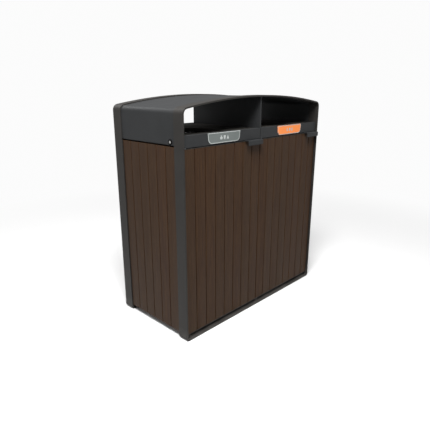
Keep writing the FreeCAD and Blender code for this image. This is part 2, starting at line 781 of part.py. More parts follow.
def claw(side):
    """Hub, arm and curved finger, unlocked; drawn flat about the Z axis, then stood up on the shaft."""
    sweep = claw_end - claw_start
    finger = Part.makeCylinder(claw_outer_r, claw_width, V(0, 0, 0), V(0, 0, 1), sweep)
    finger = finger.cut(rod(0, 0, 0, claw_inner_r, claw_width))
    arm = box(shaft_r, claw_outer_r - 1, 0, claw_arm, 0, claw_width)
    hook = rod(0, 0, 0, claw_hub_r, claw_width).fuse(arm).fuse(finger)
    hook = hook.cut(rod(0, 0, 0, shaft_r, claw_width)).removeSplitter()
    hook.rotate(V(0, 0, 0), V(0, 0, 1), claw_start)
    hook.rotate(V(0, 0, 0), V(1, 1, 1), 120)
    hook.translate(V(claw_x[side] - claw_width / 2, lock_y, lock_z))
    return hook


def collar(x):
    """Ring on the shaft beside a bearing block."""
    return tube(x, lock_y, lock_z, collar_r, shaft_r, collar_width, V(1, 0, 0))


save("lock_housing", lock_housing())
save("lock_nut", lock_nut())
save("lock_core", lock_core())
save("lock_shaft", rod(shaft_start, lock_y, lock_z, shaft_r, shaft_end - shaft_start, V(1, 0, 0)))
save("shaft_blocks", *[bearing_block(x, foot) for x, foot in block_places.values()])
save("shaft_collars", collar(block_places["left"][0] + block_width / 2 + buffer_gap),
     collar(block_places["right"][0] - block_width / 2 - buffer_gap - collar_width))
for side in sides:
    save(side + "_claw", claw(side))


# ---- liners ----

def rounded_block(x0, x1, y0, y1, z0, z1, radius):
    """Block with rounded upright edges."""
    block = box(x0, x1, y0, y1, z0, z1)
    return block.makeFillet(radius, edges_along(block, V(0, 0, 1)))


def liner(side):
    """Open sheet bin with a folded rim and a hand slot in each side wall."""
    middle = liner_middle[side]
    x0, x1 = middle - liner_width / 2, middle + liner_width / 2
    t = liner_sheet
    walls = rounded_block(x0, x1, liner_front, liner_rear, liner_bottom, liner_top, liner_corner_r)
    rim = rounded_block(x0 - liner_rim, x1 + liner_rim, liner_front - liner_rim, liner_rear + liner_rim,
                        liner_top - liner_rim_drop, liner_top, liner_corner_r + liner_rim)
    under = rounded_block(x0 - liner_rim + t, x1 + liner_rim - t, liner_front - liner_rim + t,
                          liner_rear + liner_rim - t, liner_top - liner_rim_drop - t, liner_top - t,
                          liner_corner_r + liner_rim - t)
    hollow = rounded_block(x0 + t, x1 - t, liner_front + t, liner_rear - t, liner_bottom + t, liner_top + t,
                           liner_corner_r - t)
    shell = walls.fuse(rim.cut(under)).cut(hollow)
    y = (liner_front + liner_rear) / 2
    slot_z = liner_top - liner_slot_drop
    slot = box(x0 - 1, x1 + 1, y - liner_slot_length / 2, y + liner_slot_length / 2,
               slot_z - liner_slot_height / 2, slot_z + liner_slot_height / 2)
    slot = slot.makeFillet(liner_slot_height * 0.49, edges_along(slot, V(1, 0, 0)))
    return shell.cut(slot).removeSplitter()


def guides():
    """Angle strips on the floor sheet, one each side of each liner."""
    strips = []
    reach = liner_rim + liner_side_gap - guide_clearance - guide_post_gap
    for side in sides:
        for sign in (-1, 1):
            wall = liner_middle[side] + sign * (liner_width / 2 + guide_clearance)
            upright = box(wall, wall + sign * guide_sheet, liner_front, liner_rear,
                          base_top, base_top + guide_height)
            foot = box(wall, wall + sign * reach, liner_front, liner_rear, base_top, base_top + guide_sheet)
            strips.append(upright.fuse(foot).removeSplitter())
    return strips


for side in sides:
    save(side + "_liner", liner(side))
save("liner_guides", *guides())
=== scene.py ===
import json
import math
import bmesh
import bpy
import numpy as np
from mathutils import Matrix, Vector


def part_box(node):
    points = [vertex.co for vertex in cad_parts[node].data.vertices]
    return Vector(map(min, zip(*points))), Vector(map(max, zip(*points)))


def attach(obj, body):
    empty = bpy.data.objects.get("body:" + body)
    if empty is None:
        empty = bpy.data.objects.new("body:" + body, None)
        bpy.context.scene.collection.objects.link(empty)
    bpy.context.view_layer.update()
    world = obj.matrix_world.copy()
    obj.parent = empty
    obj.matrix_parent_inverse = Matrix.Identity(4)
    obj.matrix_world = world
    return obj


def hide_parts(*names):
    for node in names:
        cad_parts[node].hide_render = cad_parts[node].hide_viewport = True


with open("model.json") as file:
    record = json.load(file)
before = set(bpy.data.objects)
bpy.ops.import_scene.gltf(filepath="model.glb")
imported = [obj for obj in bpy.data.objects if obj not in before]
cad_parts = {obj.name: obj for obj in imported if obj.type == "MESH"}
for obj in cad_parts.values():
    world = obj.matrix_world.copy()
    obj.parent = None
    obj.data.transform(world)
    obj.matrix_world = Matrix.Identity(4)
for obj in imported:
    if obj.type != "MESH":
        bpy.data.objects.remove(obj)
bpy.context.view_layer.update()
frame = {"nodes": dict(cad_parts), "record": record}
nodes = frame["nodes"]
slots = {row["node"]: row["material_slot"] for row in frame["record"]["subparts"]}
bodies = {node: body for body, names in frame["record"]["behaviour"]["bodies"].items() for node in names}
mm = 0.001


# Meshes

def gridPiece(name, grids, closeAlong=False, boards=None):
    # Each grid is rows of points: row i is the closed section at step i along the path, so the surface is
    # point(i, j) joined to its neighbours in both directions. A path with ends gets one flat cap at each.
    # Boards gives every grid a number of its own, which the timber reads.
    points, faces, marks, start = [], [], [], 0
    for number, grid in enumerate(grids):
        rows, columns = grid.shape[:2]
        i = np.arange(rows if closeAlong else rows - 1)[:, None]
        j = np.arange(columns)[None, :]
        iNext, jNext = (i + 1) % rows, (j + 1) % columns
        corners = [i * columns + j, i * columns + jNext, iNext * columns + jNext, iNext * columns + j]
        faces += (np.stack(corners, -1).reshape(-1, 4) + start).tolist()
        if not closeAlong:
            cap = np.arange(columns) + start
            faces += [cap[::-1].tolist(), (cap + (rows - 1) * columns).tolist()]
        points.append(grid.reshape(-1, 3))
        marks.append(np.full(rows * columns, boards[number] if boards else 0.0))
        start += rows * columns
    mesh = bpy.data.meshes.new(name)
    mesh.from_pydata(np.concatenate(points).tolist(), [], faces)
    if boards:
        layer = mesh.attributes.new("board", "FLOAT", "POINT")
        layer.data.foreach_set("value", np.concatenate(marks).astype(np.float32))
    return bpy.data.objects.new(name, mesh)


def outwards(piece):
    # Turns every closed shell's faces outwards.
    shell = bmesh.new()
    shell.from_mesh(piece.data)
    bmesh.ops.recalc_face_normals(shell, faces=shell.faces)
    shell.to_mesh(piece.data)
    shell.free()
    return piece


def place(piece, node, material, hideNode=True):
    # Shades the piece smooth with flat faces kept flat, and puts it on the node's body, in the node's stead
    # or on top of it.
    bpy.context.scene.collection.objects.link(piece)
    piece.data.polygons.foreach_set("use_smooth", np.ones(len(piece.data.polygons), bool))
    flat = piece.modifiers.new("flatFaces", "WEIGHTED_NORMAL")
    flat.weight = 100
    piece.data.materials.clear()
    piece.data.materials.append(material)
    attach(piece, bodies[node])
    if hideNode:
        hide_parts(node)


def roundedSection(u0, u1, v0, v1, radii, steps=4):
    # Closed rectangle with an arc at each corner, as (u, v) points: corner centre plus radius times the
    # cosine and sine of the turn. Radii start at (u0, v0) and go round.
    centres = ((u0, v0, 1, 1), (u1, v0, -1, 1), (u1, v1, -1, -1), (u0, v1, 1, -1))
    points = []
    for k, ((u, v, su, sv), radius) in enumerate(zip(centres, radii)):
        turn = math.pi * (1 + k / 2) + np.linspace(0, math.pi / 2, steps + 1)
        arc = [u + su * radius + radius * np.cos(turn), v + sv * radius + radius * np.sin(turn)]
        points.append(np.stack(arc, -1))
    return np.concatenate(points)


# Colours and nodes

def linearColour(code):
    # sRGB hex to linear red, green, blue, alpha.
    parts = [int(code[i:i + 2], 16) / 255 for i in (1, 3, 5)]
    return [c / 12.92 if c <= 0.04045 else ((c + 0.055) / 1.055) ** 2.4 for c in parts] + [1.0]


def addNode(material, kind, settings=None, links=None):
    # One shader node with its settings (names of its own values, or of sockets) and its incoming links.
    node = material.node_tree.nodes.new(kind)
    for key, value in (settings or {}).items():
        if isinstance(key, str) and hasattr(node, key):
            setattr(node, key, value)
        else:
            node.inputs[key].default_value = value
    for key, socket in (links or {}).items():
        material.node_tree.links.new(socket, node.inputs[key])
    return node


def startMaterial(name):
    material = bpy.data.materials.new(name)
    material.use_nodes = True
    material.node_tree.nodes.clear()
    return material


def finishMaterial(material, colour, roughness, height, bumpDepth, bumpStrength, shader):
    bump = addNode(material, "ShaderNodeBump", {"Strength": bumpStrength, "Distance": bumpDepth},
                   {"Height": height})
    surface = addNode(material, "ShaderNodeBsdfPrincipled", shader,
                      {"Base Color": colour, "Roughness": roughness, "Normal": bump.outputs["Normal"]})
    addNode(material, "ShaderNodeOutputMaterial", None, {"Surface": surface.outputs["BSDF"]})
    return material


powderSettings = {
    "cloud": 90 * mm,        # slow changes of shade
    "grain": 1.1 * mm,       # fine texture of the cured powder
    "relief": 0.05 * mm,
    "glossDrift": 0.07,      # how far roughness wanders from its own value
    "dust": "#6d6a66",
    "dustShare": 0.45,       # how much dust lies at the ground
    "dustHeight": 70 * mm}   # road dust above the ground


def powderCoat(name, dark, light, rough, gloss):
    # Polyester powder coat on galvanised sheet, fine texture: matt, slightly orange-peeled, and dusty near
    # the ground.
    s = powderSettings
    m = startMaterial(name)
    where = addNode(m, "ShaderNodeTexCoord").outputs["Object"]
    cloud = addNode(m, "ShaderNodeTexNoise", {"Scale": 1 / s["cloud"], "Detail": 3.0},
                    {"Vector": where}).outputs["Fac"]
    grain = addNode(m, "ShaderNodeTexNoise", {"Scale": 1 / s["grain"], "Detail": 2.0},
                    {"Vector": where}).outputs["Fac"]
    shade = addNode(m, "ShaderNodeMapRange", {"From Min": 0.3, "From Max": 0.7},
                    {"Value": cloud}).outputs["Result"]
    base = addNode(m, "ShaderNodeMix", {"data_type": "RGBA", 6: linearColour(dark), 7: linearColour(light)},
                   {0: shade}).outputs[2]
    height = addNode(m, "ShaderNodeSeparateXYZ", None, {0: where}).outputs["Z"]
    low = addNode(m, "ShaderNodeMapRange",
                  {"From Min": 0.0, "From Max": s["dustHeight"], "To Min": s["dustShare"], "To Max": 0.0},
                  {"Value": height}).outputs["Result"]
    dust = addNode(m, "ShaderNodeMath", {"operation": "MULTIPLY"}, {0: low, 1: cloud}).outputs[0]
    colour = addNode(m, "ShaderNodeMix", {"data_type": "RGBA", 7: linearColour(s["dust"])},
                     {0: dust, 6: base}).outputs[2]
    sheen = addNode(m, "ShaderNodeMapRange",
                    {"From Min": 0.2, "From Max": 0.8, "To Min": rough - s["glossDrift"],
                     "To Max": rough + s["glossDrift"]}, {"Value": cloud}).outputs["Result"]
    return finishMaterial(m, colour, sheen, grain, s["relief"], 0.35, {"Specular IOR Level": gloss})


timberSettings = {
    "deep": "#1e1106", "middle": "#321d0e", "warm": "#402a15", "grey": "#372718",
    "greying": 0.55,         # how grey the greyest board gets
    "rings": 9 * mm,         # spacing of the growth figure across a board
    "streak": 2.2 * mm,      # fine light and dark streaks
    "pore": 0.7 * mm,        # open pores, drawn a little coarser than real
    "relief": 0.18 * mm,
    "stretch": 0.045,        # how much slower everything changes along the grain
    "jump": (7.3, 3.1, 11.7)}    # metres that a board's number, from 0 to 1, moves its figure by


def timber():
    # Planed tropical hardwood, oiled and a season old: brown with darker figure and open pores, no two
    # boards alike.
    s = timberSettings
    m = startMaterial("oiledHardwood")
    where = addNode(m, "ShaderNodeTexCoord").outputs["Object"]
    board = addNode(m, "ShaderNodeAttribute", {"attribute_name": "board"}).outputs["Fac"]
    jump = addNode(m, "ShaderNodeCombineXYZ", None, {"X": board, "Y": board, "Z": board}).outputs[0]
    own = addNode(m, "ShaderNodeVectorMath", {"operation": "MULTIPLY_ADD", 1: s["jump"]},
                  {0: jump, 2: where}).outputs[0]
    along = addNode(m, "ShaderNodeMapping", {"Scale": (1, 1, s["stretch"])}, {"Vector": own}).outputs[0]
    sway = addNode(m, "ShaderNodeTexNoise", {"Scale": 1 / (4 * s["rings"]), "Detail": 2.0},
                   {"Vector": along}).outputs["Fac"]
    figure = addNode(m, "ShaderNodeTexNoise", {"Scale": 1 / s["rings"], "Detail": 3.0, "Distortion": 0.6},
                     {"Vector": along}).outputs["Fac"]
    streak = addNode(m, "ShaderNodeTexNoise", {"Scale": 1 / s["streak"], "Detail": 4.0, "Roughness": 0.6},
                     {"Vector": along}).outputs["Fac"]
    pore = addNode(m, "ShaderNodeTexNoise", {"Scale": 1 / s["pore"], "Detail": 1.0},
                   {"Vector": along}).outputs["Fac"]
    tone = addNode(m, "ShaderNodeMapRange", {"From Min": 0.34, "From Max": 0.66},
                   {"Value": figure}).outputs["Result"]
    base = addNode(m, "ShaderNodeMix",
                   {"data_type": "RGBA", 6: linearColour(s["middle"]), 7: linearColour(s["warm"])},
                   {0: tone}).outputs[2]
    boardShade = addNode(m, "ShaderNodeTexWhiteNoise", {"noise_dimensions": "1D"},
                         {"W": board}).outputs["Value"]
    greyed = addNode(m, "ShaderNodeMath", {"operation": "MULTIPLY", 1: s["greying"]},
                     {0: boardShade}).outputs[0]
    shifted = addNode(m, "ShaderNodeMix", {"data_type": "RGBA", 7: linearColour(s["grey"])},
                      {0: greyed, 6: base}).outputs[2]
    dark = addNode(m, "ShaderNodeMapRange", {"From Min": 0.42, "From Max": 0.68, "To Max": 0.5},
                   {"Value": streak}).outputs["Result"]
    streaked = addNode(m, "ShaderNodeMix", {"data_type": "RGBA", 7: linearColour(s["deep"])},
                       {0: dark, 6: shifted}).outputs[2]
    openPore = addNode(m, "ShaderNodeMapRange", {"From Min": 0.60, "From Max": 0.72, "To Max": 0.4},
                       {"Value": pore}).outputs["Result"]
    colour = addNode(m, "ShaderNodeMix", {"data_type": "RGBA", 7: linearColour(s["deep"])},
                     {0: openPore, 6: streaked}).outputs[2]
    rough = addNode(m, "ShaderNodeMapRange", {"To Min": 0.5, "To Max": 0.72},
                    {"Value": sway}).outputs["Result"]
    relief = addNode(m, "ShaderNodeMath", {"operation": "SUBTRACT"}, {0: streak, 1: openPore}).outputs[0]
    return finishMaterial(m, colour, rough, relief, s["relief"], 0.5, {"Specular IOR Level": 0.2})


zincSettings = {
    "pale": "#a3a6a8", "deep": "#85898c", "spangle": 11 * mm, "stain": 60 * mm, "relief": 0.1 * mm}


def galvanised():
    # Hot-dip galvanised steel: soft grey crystals a centimetre wide, each at its own shade, dull from the
    # weather.
    s = zincSettings
    m = startMaterial("galvanisedSteel")
    where = addNode(m, "ShaderNodeTexCoord").outputs["Object"]
    crystal = addNode(m, "ShaderNodeTexVoronoi", {"Scale": 1 / s["spangle"], "Randomness": 1.0},
                      {"Vector": where}).outputs["Color"]
    shade = addNode(m, "ShaderNodeSeparateXYZ", None, {0: crystal}).outputs["X"]
    stain = addNode(m, "ShaderNodeTexNoise", {"Scale": 1 / s["stain"], "Detail": 4.0},
                    {"Vector": where}).outputs["Fac"]
    mixed = addNode(m, "ShaderNodeMath", {"operation": "MULTIPLY"}, {0: shade, 1: stain}).outputs[0]
    colour = addNode(m, "ShaderNodeMix",
                     {"data_type": "RGBA", 6: linearColour(s["deep"]), 7: linearColour(s["pale"])},
                     {0: mixed}).outputs[2]
    rough = addNode(m, "ShaderNodeMapRange", {"To Min": 0.38, "To Max": 0.6},
                    {"Value": shade}).outputs["Result"]
    return finishMaterial(m, colour, rough, stain, s["relief"], 0.25, {"Metallic": 0.9})


steelSettings = {"marks": 0.5 * mm, "stain": 8 * mm, "relief": 0.02 * mm}


def stainless(name, dark, light):
    # Turned and brushed stainless steel, bright, or in a darkened copy that is painted shade, with fine
    # marks all over.
    s = steelSettings
    m = startMaterial(name)
    where = addNode(m, "ShaderNodeTexCoord").outputs["Object"]
    marks = addNode(m, "ShaderNodeTexNoise", {"Scale": 1 / s["marks"], "Detail": 3.0},
                    {"Vector": where}).outputs["Fac"]
    stain = addNode(m, "ShaderNodeTexNoise", {"Scale": 1 / s["stain"], "Detail": 2.0},
                    {"Vector": where}).outputs["Fac"]
    colour = addNode(m, "ShaderNodeMix",
                     {"data_type": "RGBA", 6: linearColour(dark), 7: linearColour(light)},
                     {0: stain}).outputs[2]
    rough = addNode(m, "ShaderNodeMapRange", {"To Min": 0.22, "To Max": 0.42},
                    {"Value": marks}).outputs["Result"]
    return finishMaterial(m, colour, rough, marks, s["relief"], 0.3, {"Metallic": 1.0})


paintSettings = {"cloud": 45 * mm, "scratch": 0.9 * mm, "relief": 0.02 * mm, "glossDrift": 0.12}


def paintedSheet(name, fresh, worn, rough, gloss=0.4):
    # Wet paint, screen print or moulded skin: an even satin colour, a little faded in clouds, finely
    # scratched.
    s = paintSettings
    m = startMaterial(name)
    where = addNode(m, "ShaderNodeTexCoord").outputs["Object"]
    cloud = addNode(m, "ShaderNodeTexNoise", {"Scale": 1 / s["cloud"], "Detail": 3.0},
                    {"Vector": where}).outputs["Fac"]
    scratch = addNode(m, "ShaderNodeTexNoise", {"Scale": 1 / s["scratch"], "Detail": 2.0},
                      {"Vector": where}).outputs["Fac"]
    colour = addNode(m, "ShaderNodeMix",
                     {"data_type": "RGBA", 6: linearColour(fresh), 7: linearColour(worn)},
                     {0: cloud}).outputs[2]
    sheen = addNode(m, "ShaderNodeMapRange", {"To Min": rough, "To Max": rough + s["glossDrift"]},
                    {"Value": cloud}).outputs["Result"]
    return finishMaterial(m, colour, sheen, scratch, s["relief"], 0.2, {"Specular IOR Level": gloss})


powder = powderCoat("powderCoatAnthraciteWarm", "#252321", "#2d2b29", 0.55, 0.22)
sheetPowder = powderCoat("powderCoatAnthracite", "#292a2b", "#2f3031", 0.52, 0.15)
# painted shade: a dull dark copy of the powder coat for the parts inside and under the bin, which sit in
# shade
shadedPowder = powderCoat("powderCoatPaintedShade", "#2b2a28", "#383633", 0.8, 0.08)
wood = timber()
zinc = galvanised()
steel = stainless("stainlessSteelBrushed", "#a9a8a5", "#c9c8c4")
# painted shade: the stainless steel darkened, for steel parts that sit in shadow
shadedSteel = stainless("stainlessSteelPaintedShade", "#2e2b28", "#403c38")
castBlack = paintedSheet("zincCastingBlack", "#040404", "#080808", 0.55, 0.08)
greyPrint = paintedSheet("labelPrintGrey", "#656b69", "#6d7371", 0.4, 0.25)
orangePrint = paintedSheet("labelPrintOrange", "#f68c46", "#fa9652", 0.4, 0.25)
palePrint = paintedSheet("labelFilmPale", "#b9bdbb", "#aeb2b0", 0.4)
rubber = paintedSheet("rubberMoulded", "#151515", "#1e1e1d", 0.7)
bySlot = {
    "dark_powder_coat": powder, "oiled_hardwood": wood, "galvanised_steel": zinc, "stainless_steel": steel,
    "lock_black": castBlack, "grey_label": greyPrint, "orange_label": orangePrint, "buffer_rubber": rubber}
byNode = {node: bySlot[slots[node]] for node in nodes}
byNode.update({node: sheetPowder for node in (
    "hood", "left_front_fascia", "right_front_fascia", "left_rear_fascia", "right_rear_fascia", "divider",
    "left_handle", "right_handle")})
# painted shade: the parts inside and under the bin get the dull dark coat in place of a lighter finish,
# because they sit in shade
byNode.update({node: shadedPowder for node in (
    "left_chute_plate", "right_chute_plate", "left_liner", "right_liner", "base_plate", "partition",
    "pivot_blocks", "left_top_angle", "right_top_angle", "rear_left_post", "rear_right_post",
    "rear_centre_post", "front_left_post", "front_right_post", "front_centre_post")})
# painted shade: the lower hinge pins under the doors, the lock shaft and its collars sit in shadow, so they
# get the darkened steel
byNode.update({node: shadedSteel for node in ("bottom_hinge_pins", "lock_shaft", "shaft_collars")})
for node, thing in nodes.items():
    thing.data.materials.clear()
    thing.data.materials.append(byNode[node])
print("materials ready")


# Frame loops and hood

loopSizes = {
    "barThick": 8 * mm, "crownRise": 48 * mm, "topRound": 31 * mm, "bottomRound": 17 * mm,
    "edge": 1.3 * mm, "hoodInset": 5 * mm, "hoodSheet": 3 * mm, "hoodEdge": 0.4 * mm}


def loopOutline(foot=None):
    # Outline of the loops seen from the front, with its outward normals: straight sides, round corners of
    # constant radius, and a top that is one shallow circle through both shoulders and the crown.
    # With a foot height it starts and ends there; without one it closes along the ground.
    s = loopSizes
    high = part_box("front_frame")[1]
    half, top = high.x, high.z
    archRadius = (half ** 2 + s["crownRise"] ** 2) / (2 * s["crownRise"])
    archZ = top - archRadius
    r, rb = s["topRound"], s["bottomRound"]
    filletZ = archZ + math.sqrt((archRadius - r) ** 2 - (half - r) ** 2)
    turn = math.atan2(filletZ - archZ, half - r)
    topTurn = np.linspace(0, turn, 13)
    archTurn = np.linspace(turn, math.pi / 2, 40)[1:]
    rise = np.linspace(rb if foot is None else foot, filletZ, 24)[1:-1]
    side = (np.stack([np.full(rise.shape, half), rise], -1), np.zeros(rise.shape))
    shoulder = (np.stack([half - r + r * np.cos(topTurn), filletZ + r * np.sin(topTurn)], -1), topTurn)
    arch = (np.stack([archRadius * np.cos(archTurn), archZ + archRadius * np.sin(archTurn)], -1), archTurn)
    runs = [side, shoulder, arch]
    if foot is None:
        bottomTurn = np.linspace(-math.pi / 2, 0, 9)
        x = np.linspace(0, half - rb, 20)[:-1]
        ground = (np.stack([x, np.zeros(x.shape)], -1), np.full(x.shape, -math.pi / 2))
        corner = [half - rb + rb * np.cos(bottomTurn), rb + rb * np.sin(bottomTurn)]
        runs = [ground, (np.stack(corner, -1), bottomTurn)] + runs
    else:
        runs = [(np.array([[half, foot]]), np.zeros(1))] + runs
    right = np.concatenate([points for points, turns in runs])
    angle = np.concatenate([turns for points, turns in runs])
    normal = np.stack([np.cos(angle), np.sin(angle)], -1)
    flip = np.array([-1, 1])
    back = slice(-2, 0, -1) if foot is None else slice(-2, None, -1)   # the mirrored half, run backwards
    return np.concatenate([right, right[back] * flip]), np.concatenate([normal, normal[back] * flip])


def alongOutline(outline, normal, section):
    # A section carried along an outline: its first value runs inwards from the outline, its second along Y.
    flat = outline[:, None, :] - section[None, :, :1] * normal[:, None, :]
    y = np.broadcast_to(section[None, :, 1], flat.shape[:2])
    return np.stack([flat[..., 0], y, flat[..., 1]], -1)


def buildLoops():
    s = loopSizes
    outline, normal = loopOutline()
    for node in ("front_frame", "rear_frame"):
        low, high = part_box(node)
        section = roundedSection(0, s["barThick"], low.y, high.y, [s["edge"]] * 4)
        bar = gridPiece(node + "_bar", [alongOutline(outline, normal, section)], closeAlong=True)
        place(outwards(bar), node, byNode[node])
    low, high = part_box("hood")
    outline, normal = loopOutline(foot=low.z)
    inner = s["hoodInset"] + s["hoodSheet"]
    section = roundedSection(s["hoodInset"], inner, low.y, high.y, [s["hoodEdge"]] * 4, steps=2)
    sheet = gridPiece("hood_sheet", [alongOutline(outline, normal, section)])
    place(outwards(sheet), "hood", byNode["hood"])


buildLoops()
print("loops and hood ready")


# Timber boards

boardSizes = {
    "gap": 3.5 * mm, "middleGap": 5 * mm, "frontRound": 2.5 * mm, "backRound": 0.8 * mm,
    "endRound": 0.6 * mm, "endShrink": 0.5 * mm,
    "planing": 0.25 * mm,    # how far the planed face wanders
    "cup": 0.3 * mm,         # how far a face is hollowed across its width
    "flatShare": 0.3,        # share of the boards that stay flat
    "slowWave": 9, "quickWave": 23,    # radians to a metre of height
    "steps": 28}
boardPanels = (   # node, boards, bays, axis that the faces look along, and which way
    ("left_door_slats", 8, 1, 1, -1), ("right_door_slats", 8, 1, 1, -1), ("rear_slats", 16, 2, 1, 1),
    ("left_side_slats", 6, 1, 0, -1), ("right_side_slats", 6, 1, 0, 1))


def boardGrid(across, depth, low, high, seed):
    # One board as a section along its length. Across runs from across[0] to across[1], depth from the back
    # to the face; the section shrinks a little at both ends. The face lies inwards by two sines of the
    # height, which the seed shifts, plus a hollow that goes with one less the square of the place across.
    s = boardSizes
    rounds = [s["backRound"], s["backRound"], s["frontRound"], s["frontRound"]]
    if depth[1] < depth[0]:
        rounds = rounds[::-1]
    section = roundedSection(across[0], across[1], min(depth), max(depth), rounds)
    z = np.linspace(low, high, s["steps"])
    z = np.concatenate([z[:1], z[:1] + s["endRound"], z[1:-1], z[-1:] - s["endRound"], z[-1:]])
    end = np.zeros(z.shape)
    end[[0, -1]] = s["endShrink"]
    middle = np.array([(across[0] + across[1]) / 2, (depth[0] + depth[1]) / 2])
    half = np.array([abs(across[1] - across[0]) / 2, abs(depth[1] - depth[0]) / 2])
    shrink = 1 - end[:, None, None] / half[None, None, :]
    grid = middle + (section[None, :, :] - middle) * shrink
    side = np.sign(depth[1] - depth[0])
    facing = (section[:, 1] - middle[1]) * side > half[1] * 0.5
    t = (section[:, 0] - middle[0]) / half[0]
    slow = z[:, None] * s["slowWave"] + seed * 40
    quick = z[:, None] * s["quickWave"] + seed * 71 + 2 * t[None, :]
    wander = 0.5 + 0.25 * np.sin(slow) + 0.25 * np.sin(quick)
    hollow = s["cup"] * max(seed - s["flatShare"], 0.0) * (1 - t[None, :] ** 2)
    grid[..., 1] -= side * (s["planing"] * wander + hollow) * facing[None, :]
    return grid, z


def buildBoards():
    s = boardSizes
    chance = np.random.default_rng(11)
    for node, count, bays, axis, sign in boardPanels:
        low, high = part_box(node)
        start, end = low[1 - axis], high[1 - axis]
        perBay = count // bays
        bay = (end - start - (bays - 1) * s["middleGap"]) / bays
        width = (bay - (perBay - 1) * s["gap"]) / perBay
        depth = (low[axis], high[axis]) if sign > 0 else (high[axis], low[axis])
        grids, marks = [], []
        for i in range(count):
            at = start + (i // perBay) * (bay + s["middleGap"]) + (i % perBay) * (width + s["gap"])
            seed = chance.random()
            flat, z = boardGrid((at, at + width), depth, low.z, high.z, seed)
            grid = np.zeros(flat.shape[:2] + (3,))
            grid[..., 1 - axis] = flat[..., 0]
            grid[..., axis] = flat[..., 1]
            grid[..., 2] = z[:, None]
            grids.append(grid)
            marks.append(seed)
        place(outwards(gridPiece(node + "_boards", grids, boards=marks)), node, wood)


buildBoards()
print("boards ready")


# Sheet parts with their edges rounded

softening = {
    "steps": 2, "merge": 0.002 * mm,
    "flat": math.radians(0.4),    # triangles of one face meet at less than this
    "sharp": math.radians(35)}    # edges sharper than this get their round
softEdges = {   # radius in millimetres
    "left_front_fascia": 0.6, "right_front_fascia": 0.6, "left_rear_fascia": 0.6, "right_rear_fascia": 0.6,
    "left_handle": 0.5, "right_handle": 0.5, "divider": 0.4, "left_label": 0.4, "right_label": 0.4,
    "lock_housing": 0.7, "lock_core": 0.4, "top_hinge_pins": 0.3, "left_door_frame": 0.5,
    "right_door_frame": 0.5, "base_plate": 0.5, "left_keeper": 0.4, "right_keeper": 0.4,
    "hinge_brackets": 0.5, "shaft_blocks": 0.6, "left_door_crossbars": 0.5, "right_door_crossbars": 0.5}


def softened(node, radius):
    # The CAD shape with its sharp edges rounded to a real radius.
    mesh = nodes[node].data.copy()
    mesh.name = node + "_part"
    if "custom_normal" in mesh.attributes:
        mesh.attributes.remove(mesh.attributes["custom_normal"])
    shell = bmesh.new()
    shell.from_mesh(mesh)
    bmesh.ops.remove_doubles(shell, verts=shell.verts, dist=softening["merge"])
    bmesh.ops.dissolve_limit(shell, angle_limit=softening["flat"], verts=shell.verts, edges=shell.edges)
    shell.to_mesh(mesh)
    shell.free()
    piece = bpy.data.objects.new(node + "_part", mesh)
    bevel = piece.modifiers.new("edge", "BEVEL")
    bevel.width = radius
    bevel.segments = softening["steps"]
    bevel.limit_method = "ANGLE"
    bevel.angle_limit = softening["sharp"]
    bevel.use_clamp_overlap = False
    place(piece, node, byNode[node])


for node, radius in softEdges.items():
    softened(node, radius * mm)
print("sheet parts ready")


# Screws, each turned along its own axis

screwSizes = {
    "head": 4 * mm, "shank": 2 * mm, "headTall": 2 * mm, "handleHead": 4.5 * mm, "handleShank": 2.5 * mm,
    "handleHeadTall": 3 * mm, "tip": 0.8 * mm, "socket": 1.7 * mm, "socketDepth": 1.1 * mm,
    "lobes": 6, "lobeDepth": 0.16}   # depth as a share of the socket's radius


def solidBoxes(node):
    # Lowest and highest corner of each separate solid in a CAD node.
    shell = bmesh.new()
    shell.from_mesh(nodes[node].data)
    bmesh.ops.remove_doubles(shell, verts=shell.verts, dist=0.001 * mm)
    shell.verts.ensure_lookup_table()
    places = np.array([v.co[:] for v in shell.verts])
    group = np.arange(len(places))
    pairs = np.array([[v.index for v in edge.verts] for edge in shell.edges])
    shell.free()
    while True:   # every point takes the lowest number that it is joined to, until nothing changes
        lowest = group.copy()
        np.minimum.at(lowest, pairs[:, 0], group[pairs[:, 1]])
        np.minimum.at(lowest, pairs[:, 1], group[pairs[:, 0]])
        lowest = lowest[lowest]
        if (lowest == group).all():
            break
        group = lowest
    return [(places[group == g].min(0), places[group == g].max(0)) for g in np.unique(group)]


def screwGrid(low, high, axis, headSide, head, shank, headTall):
    # A profile of radius against length, turned about the screw's axis: pointed shank, then a domed head
    # whose radius is the cosine and whose height the sine of a quarter turn, then a socket whose radius
    # swells and shrinks with its lobes.
    s = screwSizes
    body = high[axis] - low[axis] - headTall
    dome = np.linspace(0, math.pi / 2, 6)[1:4]
    socketTop = headTall * 0.5 * (1 + math.cos(math.asin(s["socket"] / head)))
    socketFloor = headTall - s["socketDepth"]
    along = np.concatenate([[0, s["tip"], body, body, body + headTall * 0.3],
                            body + headTall * 0.5 * (1 + np.sin(dome)),
                            body + np.array([socketTop, socketFloor, socketFloor])])
    radius = np.concatenate([[shank * 0.5, shank, shank, head * 0.96, head], head * np.cos(dome),
                             [s["socket"], s["socket"], s["socket"] * 0.1]])
    inSocket = np.arange(len(radius)) >= len(radius) - 3
    turn = np.linspace(0, 2 * math.pi, 25)[:-1]
    ring = radius[:, None] * (1 + s["lobeDepth"] * inSocket[:, None] * np.cos(s["lobes"] * turn)[None, :])
    across = [k for k in range(3) if k != axis]
    middle = (low + high) / 2
    grid = np.zeros(ring.shape + (3,))
    grid[..., across[0]] = middle[across[0]] + ring * np.cos(turn)
    grid[..., across[1]] = middle[across[1]] + ring * np.sin(turn)
    grid[..., axis] = (low[axis] + along if headSide > 0 else high[axis] - along)[:, None]
    return grid


